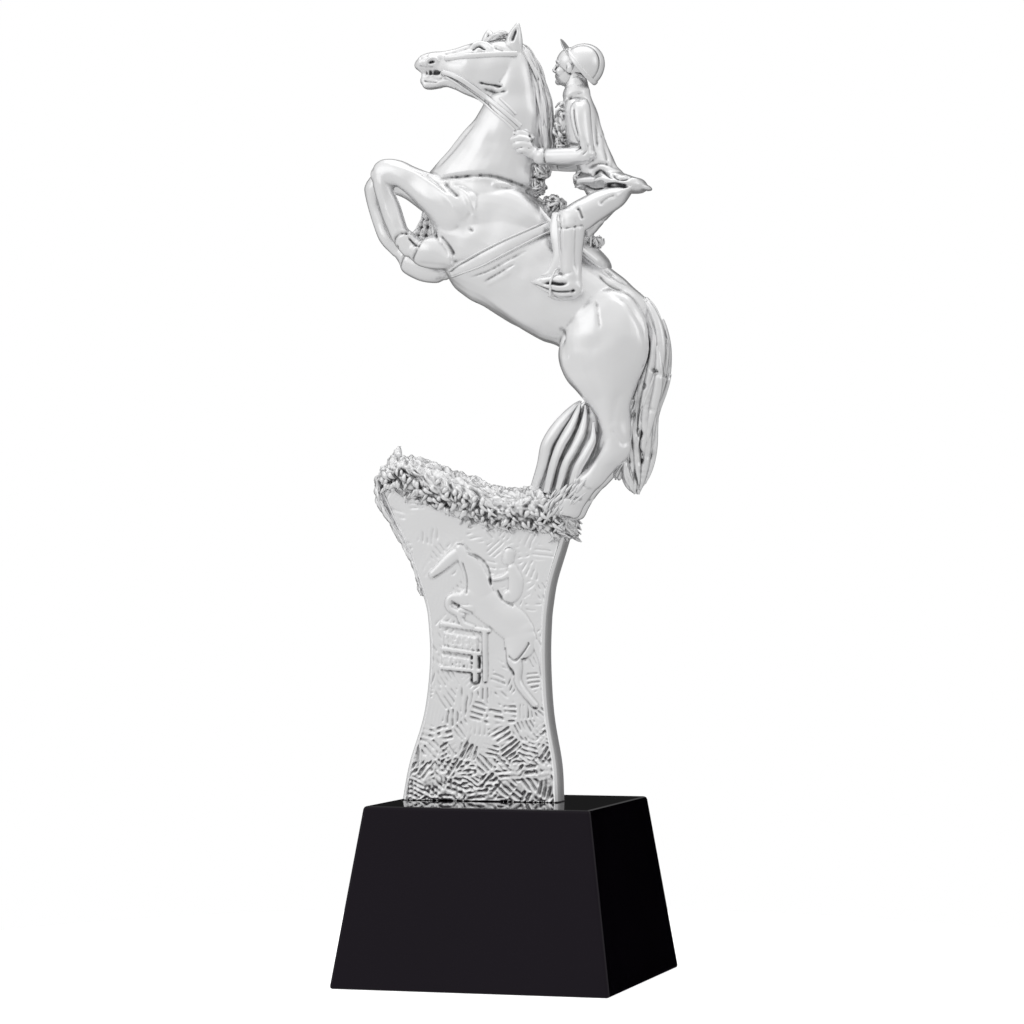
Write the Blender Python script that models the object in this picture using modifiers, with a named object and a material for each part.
"""Show jumping trophy: a silver casting of a rearing horse and its rider, on a black plinth.

The plinth is a four-sided block that narrows upwards. The casting is one piece: a waisted slab
with a jumping scene in low relief, a rough rock crest along its top, and the horse standing on
the crest on its hind legs, with a tuft of grass against them.

The casting is drawn on a grid of squares. Its foot is at height 0 and the tip of the near ear
is DRAWN_HEIGHT squares up, so one square is CASTING_HEIGHT / DRAWN_HEIGHT. X runs along the
slab, the horse faces -X, Y runs through the slab, and the front face looks to -Y.
"""

import math
from random import Random

import bmesh
import bpy
import numpy as np
from mathutils import Euler, Matrix, Vector, noise

# Driving sizes, in metres
PLINTH_FOOT = 0.115
PLINTH_TOP = 0.0935
PLINTH_HEIGHT = 0.072
PLINTH_EDGE = 0.0012
CASTING_HEIGHT = 0.318
CASTING_SHIFT = -0.009
SLAB_THICKNESS = 0.012
RELIEF_DEPTH = 0.0018
SEAT_GAP = 0.0003

# The grid that the casting is drawn on
DRAWN_HEIGHT = 318.0
SQUARE = CASTING_HEIGHT / DRAWN_HEIGHT
VOXEL = 0.8
SMOOTH_PASSES = 3
CASTING_TRIANGLES = 9600
SECTION_SIDES = 20
SPAN_STEPS = 4
FOOT_SPARE = 6.0

# Each station of a limb: x, y, z, half size in the plane of the slab, half size along Y
BARREL = (
    (-22, 0, 237, 7, 7),
    (-15, 0, 236, 15.5, 11.5),
    (-6, 0, 233, 21, 13.5),
    (2.5, 0, 228, 24.5, 15),
    (14, 0, 218.5, 23.8, 16.5),
    (24.7, 0, 212.4, 22.5, 16.5),
    (34, 0, 204, 21.2, 16),
    (44, 0, 198.6, 19.8, 15),
    (52, 0, 192, 18, 14),
    (59, 0, 187, 14.5, 11.5),
    (65, 0, 183, 8, 7.5),
)
NECK = (
    (-2, 0, 239, 23, 13.5),
    (-1.5, 0, 249.6, 22.5, 12.5),
    (3, -0.5, 263, 22, 10.5),
    (8, -1, 274, 18.5, 9),
    (10.4, -2, 283, 15, 8),
    (11.2, -2.5, 290, 12.5, 7),
    (11.5, -3, 296, 10, 6.5),
    (11, -3, 302, 7, 5.5),
)
HEAD = (
    (11.5, -3, 299.5, 9, 5.5),
    (9, -3.5, 300, 10.5, 6.4),
    (2.5, -4.5, 299.4, 12.6, 7),
    (-3.5, -5.5, 298.6, 12.6, 6.8),
    (-9.4, -6.5, 298.7, 10.6, 6),
    (-14.8, -7.3, 299.4, 8, 5),
    (-19.8, -8, 301.3, 5.4, 4.6),
    (-24.6, -8.5, 300.9, 5, 4.8),
    (-28, -9, 300.3, 3.8, 4),
    (-29.4, -9, 300.1, 1.6, 2.4),
)
LOWER_JAW = (
    (-11, -6.8, 294, 4.6, 4.2),
    (-17.6, -7.6, 293.6, 2.8, 3.8),
    (-22, -8.2, 292.9, 2.5, 3.4),
    (-25.4, -8.6, 292.9, 2.1, 3),
    (-27.4, -8.8, 293.5, 1.1, 1.8),
)
EARS = (
    ((10.5, -5.5, 306, 3.2, 2), (12, -6, 311, 2.8, 1.8), (13.4, -6, 315.4, 1.5, 1), (14, -6, 318, 0.5, 0.4)),
    ((2.5, 0.5, 308, 3, 2), (1, 1.8, 312, 2.4, 1.6), (0.2, 2.6, 315, 1.2, 0.9), (0, 3, 317, 0.5, 0.4)),
)
FORELOCK = ((10, -4, 309, 2, 2), (6, -5, 311.5, 2.2, 2.4), (2.5, -5.5, 309.5, 1.8, 2), (-1, -6, 307, 1, 1.4))
NEAR_SHOULDER = (
    (-23, -6, 245, 4, 4),
    (-15, -7, 243, 9.5, 6.6),
    (-3, -7.4, 241, 13, 8),
    (9, -7, 238.6, 12.5, 8),
    (19, -6, 235, 9, 7.4),
    (25, -5, 232, 4, 5),
)
NEAR_FOREARM = (
    (-1.5, -8, 228.6, 14, 7),
    (-11, -8.5, 236, 11.5, 6.5),
    (-21.8, -8.5, 245.2, 8.6, 5.6),
    (-30.4, -8.5, 251.6, 6.3, 4.8),
    (-38, -8.5, 255.6, 5.4, 4.6),
    (-41.8, -8.5, 256.4, 3.8, 4),
)
NEAR_CANNON = (
    (-40.6, -8.5, 256, 4.8, 4.6),
    (-40.2, -8.5, 248, 4.4, 3.8),
    (-38.4, -8.5, 239.8, 4, 3.4),
    (-36, -8.5, 231.5, 3.9, 3.4),
    (-33, -8.5, 225.6, 4.2, 4),
    (-28.6, -8.5, 223, 3.7, 3.4),
    (-24, -8.5, 222.6, 4.6, 4.4),
    (-17.5, -8.5, 222.8, 5.6, 5.2),
    (-12, -8.5, 221.5, 5.4, 5.4),
)
FAR_FORELEG_SHIFT = Vector((-9.8, 0, -3.8))
FAR_RIDER_LEG_SHIFT = Vector((-6.5, 0, 1.5))
NEAR_THIGH = (
    (50.7, -8, 207, 8, 5),
    (53.5, -8.5, 197, 15.5, 8),
    (52, -9, 185, 19, 9),
    (49.5, -9, 175, 17.5, 8.5),
    (50.8, -9, 164.5, 10.5, 6.8),
    (54, -9, 157, 8, 5.6),
    (55.5, -9, 150, 7.2, 5),
)
NEAR_HIND_CANNON = (
    (56.4, -9, 149, 6, 5),
    (53.4, -9, 142, 5.5, 4.5),
    (46.5, -9, 135, 5.3, 4.1),
    (40, -9, 129, 5.3, 4.2),
    (32, -9, 121.5, 6.6, 5.2),
)
TAIL = (
    (66, 0, 199, 3.5, 3.5),
    (70.5, 0, 195, 3.8, 4),
    (73, 0, 184, 5.4, 5),
    (71.8, 0, 174, 6.8, 5.5),
    (68.6, 0, 164, 6.6, 5.5),
    (67, 0, 153, 6.2, 5),
    (65, 0, 142, 5.6, 4.5),
    (62.5, 0, 132, 4, 3.5),
    (61.8, 0, 124, 1, 1),
)
TAIL_LOCK = (
    (68, 2, 170, 3, 3),
    (62, 3, 156, 3.6, 3),
    (60, 3, 144, 3.4, 3),
    (57, 2, 136, 2.4, 2),
    (54, 2, 131.5, 0.8, 0.8),
)
MANE = (
    (16, -3, 307, 2, 2.6),
    (21.5, -2.4, 299, 2.8, 3),
    (25, -2, 287, 3, 3.4),
    (27.4, -1, 274, 3.4, 3.8),
    (26, 0, 263, 3.6, 4.4),
    (20, 0, 255, 3.4, 4.6),
    (16, 0, 247, 3, 4.4),
)
LOOSE_MANE = ((27, 0, 281.5, 1.6, 3), (30.4, 0, 273, 5, 5), (31.6, 0, 265, 5.6, 5.6), (31, 0, 260, 4, 4))
SADDLE = (
    (20.5, 0, 245.5, 3.2, 5),
    (26, 0, 242, 3.6, 8),
    (33, 0, 235.5, 3.2, 11),
    (39, 0, 228.5, 3, 11.5),
    (43.5, 0, 224.4, 2.4, 8),
)
GIRTH = (
    (1.6, 0, 226.8, 22.4, 15.2),
    (2.6, 0, 225, 23.4, 17),
    (4.2, 0, 222, 23.4, 17.3),
    (5.2, 0, 220.2, 22.4, 15.6),
)

RIDER_BODY = (
    (51, 0, 242.5, 7.4, 8),
    (50, 0, 249, 9.4, 8.6),
    (48, 0, 256.4, 8.2, 7.5),
    (44.4, 0, 264.7, 8.6, 7.8),
    (41, 0, 273, 8.6, 8.8),
    (39.4, 0, 280, 6.8, 9.6),
    (38.6, 0, 285, 4.2, 5.5),
    (38.2, 0, 288.5, 3.6, 3.8),
    (38, 0, 294, 3.6, 3.8),
)
NEAR_ARM = (
    (42, -8.6, 281, 4.4, 4),
    (43.6, -10.6, 274, 4.5, 4.2),
    (45.2, -11.4, 266, 4.3, 4),
    (44.6, -11.6, 260.6, 4.6, 4),
    (39, -11, 259.2, 4.2, 3.8),
    (31, -9.6, 259.8, 4.1, 3.5),
    (24.6, -8, 261, 3.6, 3.2),
    (20, -7.4, 262.8, 4.3, 3.3),
    (15.5, -6.8, 266, 4.2, 3.2),
    (12, -6.4, 269.4, 2.2, 2.4),
)
NEAR_THIGH_OF_RIDER = (
    (57, -5, 245.5, 5.5, 5.5),
    (52.8, -10, 241.6, 6.2, 6),
    (45.5, -15, 236.6, 6.4, 5.8),
    (39.4, -18.2, 233.4, 5.2, 5),
)
NEAR_SHIN = (
    (39.8, -18.4, 234, 5, 4.8),
    (39.2, -19, 226.6, 5.4, 4.8),
    (39.6, -19, 218, 4.6, 4.2),
    (39.8, -19, 209, 4, 3.8),
    (40.4, -19, 205.4, 3.4, 3.4),
)
NEAR_FOOT = (
    (45.2, -19, 205.4, 2.6, 3.2),
    (39.5, -19, 205.8, 3.4, 3.8),
    (32.2, -19.5, 206.4, 2.9, 3.8),
    (25.6, -20, 207.6, 1.8, 2.8),
)
COAT_SKIRT = (
    (45, 0, 252, 3.5, 8.6),
    (52, 0, 251.5, 4, 10.4),
    (59, 0, 250.4, 3.6, 9.4),
    (65.6, 0, 248.4, 2.2, 7.6),
    (68, 0, 247, 0.8, 5),
)
HEAD_OF_RIDER = Vector((36, 0, 297.6))
HEAD_HALF = Vector((6.2, 5.2, 8))
HELMET = Vector((40.8, 0, 300))
HELMET_HALF = Vector((8.6, 7.2, 7.6))
VISOR = Vector((33.4, 0, 306))
VISOR_HALF = Vector((4.4, 5, 1.2))
HELMET_TILT = math.radians(38)
HEAD_TILT = math.radians(12)

# The slab: x of its left and right edges at each height
SLAB_EDGES = (
    (-FOOT_SPARE, -36.5, 32),
    (0, -35.6, 31.4),
    (15, -33, 30.6),
    (35, -27.2, 27.4),
    (56, -24.9, 26),
    (72, -25.6, 26.6),
    (88, -30.5, 29),
    (104, -39, 33.4),
    (118, -44.5, 37),
    (130, -46, 34),
)
SIDE_ROCKS = (
    (-45, 0, 124, 3.6, 6),
    (-41, 0, 113, 3.4, 6),
    (-34.5, 0, 101, 3, 5.6),
    (-29.6, 0, 89, 2.4, 5.2),
    (-28, 0, 83, 1, 4),
)
CREST = (
    (-46.5, 0, 131, 4, 6),
    (-40, 0, 134, 8, 8.5),
    (-32, 0, 131, 9.2, 10),
    (-22, 0, 127.5, 9, 11),
    (-11, 0, 124, 9, 11.5),
    (0, 0, 119.5, 8.6, 12),
    (11, 0, 118, 8.6, 12.5),
    (22, 0, 118.5, 9.4, 12.5),
    (31, 0, 114, 8.6, 11.5),
    (36, 0, 110, 5, 9),
)
CREST_PEAK = ((-41, -1, 134, 4.5, 5), (-38.5, -1, 140, 3.2, 3.6), (-37.2, -1, 144.6, 1, 1.2))
STONES = 60
STONE_SEED = 12
STONE_SIZES = (1.6, 3.4)
ROCK_GRAIN = 5.0
ROCK_ROUGHNESS = 2.2
ROCK_SIDES = 48
ROCK_STEPS = 10

# The leaves of the tuft against the hind legs
TUFT_LEAVES = (
    ((20.5, -2, 126, 2.2, 2), (24.6, -2, 145, 2.6, 2.4), (31, -2, 155, 2.4, 2.2), (39.4, -2, 164, 0.8, 0.8)),
    ((26, -4.5, 126, 2.4, 2), (30.4, -4.5, 144, 2.9, 2.4), (36.4, -4, 154, 2.4, 2), (40.6, -3, 162, 1, 1)),
    ((32, -5.5, 128, 2.6, 2), (37.4, -5.5, 143, 2.9, 2.4), (43, -5, 151.5, 2.4, 2), (46, -5, 158, 1, 1)),
    ((24, 2, 126, 3, 2.4), (30, 2, 142, 4, 3), (37, 2, 153, 3.4, 2.6), (42, 2, 161, 1, 1)),
    ((30, 5, 127, 3, 2.4), (36, 5, 142, 4, 3), (42, 5, 150, 3.4, 2.6), (46, 5, 157, 1, 1)),
)

# The low relief on the front face: x, z, half height of the stroke, half width of the stroke
RELIEF_HORSE = (
    ((-8, 83, 3), (-2.8, 82.4, 6), (5, 77, 6.4), (13, 71.4, 6.8), (17.5, 66, 5)),
    ((-1.5, 84, 6), (-3.8, 93, 4.4), (-7.4, 99, 3.4), (-9.8, 102.6, 2.4)),
    ((-9.2, 102, 2.8), (-14, 98.4, 2.9), (-18.6, 94.4, 2), (-22.4, 91.4, 1.2)),
    ((-7, 82, 3.4), (-13.4, 82.4, 2.1), (-14.4, 78.6, 1.5), (-9, 75.4, 1.6)),
    ((-4, 78.6, 3), (-9.6, 77.4, 1.8), (-8.8, 72.6, 1.4), (-4.4, 70.4, 1.5)),
    ((16, 69, 6), (15.4, 63.6, 7), (13.4, 58, 4.4), (14.8, 53.6, 2), (15.4, 47.4, 1.6), (22, 39, 1.5)),
    ((22, 64.5, 1.6), (25.4, 58.6, 2), (26, 52, 0.9)),
    ((12.4, 94.4, 2), (14, 89, 3), (13, 84, 2.8), (9.6, 81.4, 2.2)),
    ((10.6, 98.2, 2.4), (11.2, 100.8, 2.5)),
    ((12, 93, 1.6), (8.4, 90.8, 1.2), (4.6, 90, 1)),
    ((10.6, 83.6, 2.4), (8.8, 79, 1.8), (10.8, 75.4, 1.4)),
)
FENCE_LEFT = -18.0
FENCE_RIGHT = 3.0
FENCE_FALL = 3.2
FENCE_RAILS = (72, 66.5, 60, 53.4)
FENCE_POSTS = ((0.6, 68.5, 46), (-11, 70, 50), (-17.4, 71, 50))
FENCE_STROKE = 1.1


def clear_scene():
    """Remove every object of the scene, so that the model stands alone."""
    for existing in list(bpy.data.objects):
        bpy.data.objects.remove(existing, do_unlink=True)


def make_material(name, colour, roughness, metallic):
    """A plain material with one Principled shader."""
    material = bpy.data.materials.new(name)
    material.use_nodes = True
    shader = material.node_tree.nodes["Principled BSDF"]
    shader.inputs["Base Color"].default_value = (*colour, 1.0)
    shader.inputs["Roughness"].default_value = roughness
    shader.inputs["Metallic"].default_value = metallic
    return material


def add_object(name, mesh, collection, material=None):
    """Link a new object that holds the mesh."""
    made = bpy.data.objects.new(name, mesh)
    collection.objects.link(made)
    if material is not None:
        mesh.materials.append(material)
    return made


def smooth_stations(stations, steps=SPAN_STEPS):
    """A Catmull-Rom curve through the stations, with their half sizes carried along it."""
    knots = np.array(stations, float)
    first = 2 * knots[0] - knots[1]
    last = 2 * knots[-1] - knots[-2]
    padded = np.vstack([first, knots, last])
    share = np.linspace(0.0, 1.0, steps, endpoint=False)[:, None]
    spans = []
    for before, start, end, after in zip(padded[:-3], padded[1:-2], padded[2:-1], padded[3:]):
        bend = (2 * before - 5 * start + 4 * end - after) * share**2
        twist = (3 * start - before - 3 * end + after) * share**3
        spans.append(0.5 * (2 * start + (end - before) * share + bend + twist))
    spans.append(knots[-1:])
    return np.vstack(spans)


def loft_points(stations, sides, steps):
    """Rings of points: ellipses square to a curve through the stations, and the curve itself."""
    rows = smooth_stations(stations, steps)
    centres = rows[:, :3]
    tangents = np.gradient(centres, axis=0)
    tangents /= np.linalg.norm(tangents, axis=1, keepdims=True)
    across = np.array([0.0, 1.0, 0.0]) - tangents * tangents[:, 1:2]
    across /= np.linalg.norm(across, axis=1, keepdims=True)
    upward = np.cross(across, tangents)
    angle = np.linspace(0.0, 2 * math.pi, sides, endpoint=False)
    tall = np.maximum(rows[:, 3], 0.3)[:, None, None] * np.cos(angle)[None, :, None]
    wide = np.maximum(rows[:, 4], 0.3)[:, None, None] * np.sin(angle)[None, :, None]
    points = centres[:, None, :] + tall * upward[:, None, :] + wide * across[:, None, :]
    return points, centres


def skin_rings(shape, points):
    """Add the faces between rings of points, and close both ends."""
    sides = points.shape[1]
    rings = [[shape.verts.new(point) for point in ring] for ring in points]
    for ring, following in zip(rings, rings[1:]):
        for side in range(sides):
            other = (side + 1) % sides
            shape.faces.new((ring[side], ring[other], following[other], following[side]))
    shape.faces.new(rings[0][::-1])
    shape.faces.new(rings[-1])


def add_loft(shape, stations):
    """Add a smooth closed limb."""
    points, _ = loft_points(stations, SECTION_SIDES, SPAN_STEPS)
    skin_rings(shape, points)


def add_rough_loft(shape, stations):
    """Add a closed limb of rock: its skin is pushed in and out along its rays by smooth noise."""
    points, centres = loft_points(stations, ROCK_SIDES, ROCK_STEPS)
    for ring, centre in zip(points, centres):
        for point in ring:
            swell = noise.turbulence(Vector(point / ROCK_GRAIN), 2, True) - 0.5
            ray = point - centre
            point += ray / (np.linalg.norm(ray) + 1e-6) * ROCK_ROUGHNESS * swell
    skin_rings(shape, points)


def add_ellipsoid(shape, centre, half, tilt=0.0):
    """Add a ball stretched to three half sizes and tilted in the plane of the slab."""
    place = Matrix.Translation(centre) @ Matrix.Rotation(tilt, 4, "Y") @ Matrix.Diagonal((*half, 1.0))
    bmesh.ops.create_uvsphere(shape, u_segments=16, v_segments=10, radius=1.0, matrix=place)


def shifted(stations, shift):
    """The same stations, moved."""
    return tuple((x + shift.x, y + shift.y, z + shift.z, tall, wide) for x, y, z, tall, wide in stations)


def mirrored(stations):
    """The same stations on the far side of the slab's middle plane."""
    return tuple((x, -y, z, tall, wide) for x, y, z, tall, wide in stations)


def add_horse(shape):
    """The rearing horse, with its mane, tail, saddle and girth."""
    for stations in (BARREL, NECK, HEAD, LOWER_JAW, *EARS, FORELOCK, MANE, LOOSE_MANE, SADDLE, GIRTH):
        add_loft(shape, stations)
    for stations in (TAIL, TAIL_LOCK):
        add_loft(shape, stations)
    for stations in (NEAR_FOREARM, NEAR_CANNON):
        add_loft(shape, stations)
        add_loft(shape, shifted(mirrored(stations), FAR_FORELEG_SHIFT))
    for stations in (NEAR_SHOULDER, NEAR_THIGH, NEAR_HIND_CANNON):
        add_loft(shape, stations)
        add_loft(shape, mirrored(stations))


def add_rider(shape):
    """The rider in coat, helmet and boots, with both hands to the reins."""
    add_loft(shape, RIDER_BODY)
    add_loft(shape, COAT_SKIRT)
    add_loft(shape, NEAR_ARM)
    add_loft(shape, mirrored(NEAR_ARM))
    for stations in (NEAR_THIGH_OF_RIDER, NEAR_SHIN, NEAR_FOOT):
        add_loft(shape, stations)
        add_loft(shape, shifted(mirrored(stations), FAR_RIDER_LEG_SHIFT))
    add_ellipsoid(shape, HEAD_OF_RIDER, HEAD_HALF, HEAD_TILT)
    add_ellipsoid(shape, HELMET, HELMET_HALF, HELMET_TILT)
    add_ellipsoid(shape, VISOR, VISOR_HALF, HELMET_TILT)


def add_slab(shape):
    """The waisted slab: its edges are smooth curves, and its thickness is its own size."""
    half = SLAB_THICKNESS / SQUARE / 2
    edges = np.array(smooth_stations(SLAB_EDGES))
    outline = [(left, height) for height, left, _ in edges]
    outline += [(right, height) for height, _, right in edges[::-1]]
    front = [shape.verts.new((x, -half, z)) for x, z in outline]
    back = [shape.verts.new((x, half, z)) for x, z in outline]
    shape.faces.new(front)
    shape.faces.new(back[::-1])
    for here in range(len(outline)):
        after = (here + 1) % len(outline)
        shape.faces.new((front[after], front[here], back[here], back[after]))


def add_relief(shape):
    """The jumping horse, its rider and the fence, standing proud of the slab's front face."""
    face = -SLAB_THICKNESS / SQUARE / 2
    depth = RELIEF_DEPTH / SQUARE
    for stroke in RELIEF_HORSE:
        add_loft(shape, tuple((x, face, z, tall, min(depth, tall)) for x, z, tall in stroke))
    for height in FENCE_RAILS:
        ends = ((FENCE_LEFT, height), (FENCE_RIGHT, height - FENCE_FALL))
        add_loft(shape, tuple((x, face, z, FENCE_STROKE, depth) for x, z in ends))
    for x, top, bottom in FENCE_POSTS:
        add_loft(shape, tuple((x, face, z, FENCE_STROKE, depth) for z in (top, bottom)))


def add_stones(shape):
    """Stones strewn over the crest, each a squashed ball turned its own way."""
    draw = Random(STONE_SEED)
    crest = smooth_stations(CREST)
    for _ in range(STONES):
        x, y, z, tall, wide = crest[draw.randrange(1, len(crest) - 1)]
        turn = draw.uniform(-0.75 * math.pi, 0.75 * math.pi)
        size = draw.uniform(*STONE_SIZES)
        centre = Vector((x + draw.uniform(-2, 2), y + wide * math.sin(turn), z + tall * math.cos(turn)))
        half = size * Vector((draw.uniform(0.8, 1.5), draw.uniform(0.7, 1.0), draw.uniform(0.6, 1.1)))
        spin = Euler([draw.uniform(0, math.pi) for _ in range(3)]).to_matrix().to_4x4()
        place = Matrix.Translation(centre) @ spin @ Matrix.Diagonal((*half, 1.0))
        bmesh.ops.create_icosphere(shape, subdivisions=1, radius=1.0, matrix=place)


def add_crest(shape):
    """The rock crest, its peak and the rocks that run down the slab's edge."""
    for stations in (CREST, CREST_PEAK, SIDE_ROCKS):
        add_rough_loft(shape, stations)
    add_stones(shape)


def add_tuft(shape):
    """Leaves that fan up from the rock against the hind legs."""
    for leaf in TUFT_LEAVES:
        add_loft(shape, leaf)


def make_casting(collection, cutters, material):
    """The whole casting as one skin, stood on the plinth and cut flat underneath."""
    shape = bmesh.new()
    add_slab(shape)
    add_relief(shape)
    add_crest(shape)
    add_tuft(shape)
    add_horse(shape)
    add_rider(shape)
    bmesh.ops.recalc_face_normals(shape, faces=shape.faces)
    mesh = bpy.data.meshes.new("horse_casting")
    shape.to_mesh(mesh)
    shape.free()
    seat = PLINTH_HEIGHT + SEAT_GAP
    place = Matrix.Translation((CASTING_SHIFT, 0, seat)) @ Matrix.Scale(SQUARE, 4)
    mesh.transform(place)
    casting = add_object("horse_casting", mesh, collection, material)

    skin = casting.modifiers.new("one_skin", "REMESH")
    skin.mode = "VOXEL"
    skin.voxel_size = VOXEL * SQUARE
    smoothing = casting.modifiers.new("soften", "SMOOTH")
    smoothing.factor = 0.5
    smoothing.iterations = SMOOTH_PASSES
    graph = bpy.context.evaluated_depsgraph_get()
    faces = casting.evaluated_get(graph).data.polygons
    triangles = sum(len(face.vertices) - 2 for face in faces)
    fewer = casting.modifiers.new("facet", "DECIMATE")
    fewer.ratio = min(1.0, CASTING_TRIANGLES / triangles)
    fewer.use_collapse_triangulate = True

    below = bpy.data.meshes.new("below_foot")
    block = bmesh.new()
    bmesh.ops.create_cube(block, size=1.0)
    block.to_mesh(below)
    block.free()
    side = 2 * PLINTH_FOOT + CASTING_HEIGHT
    deep = CASTING_HEIGHT / 4
    below.transform(Matrix.Translation((0, 0, seat - deep / 2)) @ Matrix.Diagonal((side, side, deep, 1.0)))
    cutter = add_object("below_foot", below, cutters)
    cutter.hide_render = True
    cutter.display_type = "WIRE"
    flat = casting.modifiers.new("flat_foot", "BOOLEAN")
    flat.operation = "DIFFERENCE"
    flat.object = cutter
    return casting


def make_plinth(collection, material):
    """The black plinth: a square frustum with its edges eased."""
    shape = bmesh.new()
    bmesh.ops.create_cone(
        shape,
        cap_ends=True,
        segments=4,
        radius1=PLINTH_FOOT / math.sqrt(2),
        radius2=PLINTH_TOP / math.sqrt(2),
        depth=PLINTH_HEIGHT,
        matrix=Matrix.Translation((0, 0, PLINTH_HEIGHT / 2)) @ Matrix.Rotation(math.radians(45), 4, "Z"),
    )
    mesh = bpy.data.meshes.new("plinth")
    shape.to_mesh(mesh)
    shape.free()
    plinth = add_object("plinth", mesh, collection, material)
    eased = plinth.modifiers.new("eased_edges", "BEVEL")
    eased.width = PLINTH_EDGE
    eased.segments = 2
    return plinth


def main():
    """Build the trophy."""
    clear_scene()
    collection = bpy.data.collections.new("horse_trophy")
    cutters = bpy.data.collections.new("cutters")
    for group in (collection, cutters):
        bpy.context.scene.collection.children.link(group)
    black = make_material("black_crystal", (0.012, 0.01, 0.014), 0.06, 0.0)
    silver = make_material("silver_plate", (0.86, 0.86, 0.87), 0.2, 1.0)
    make_plinth(collection, black)
    make_casting(collection, cutters, silver)


main()
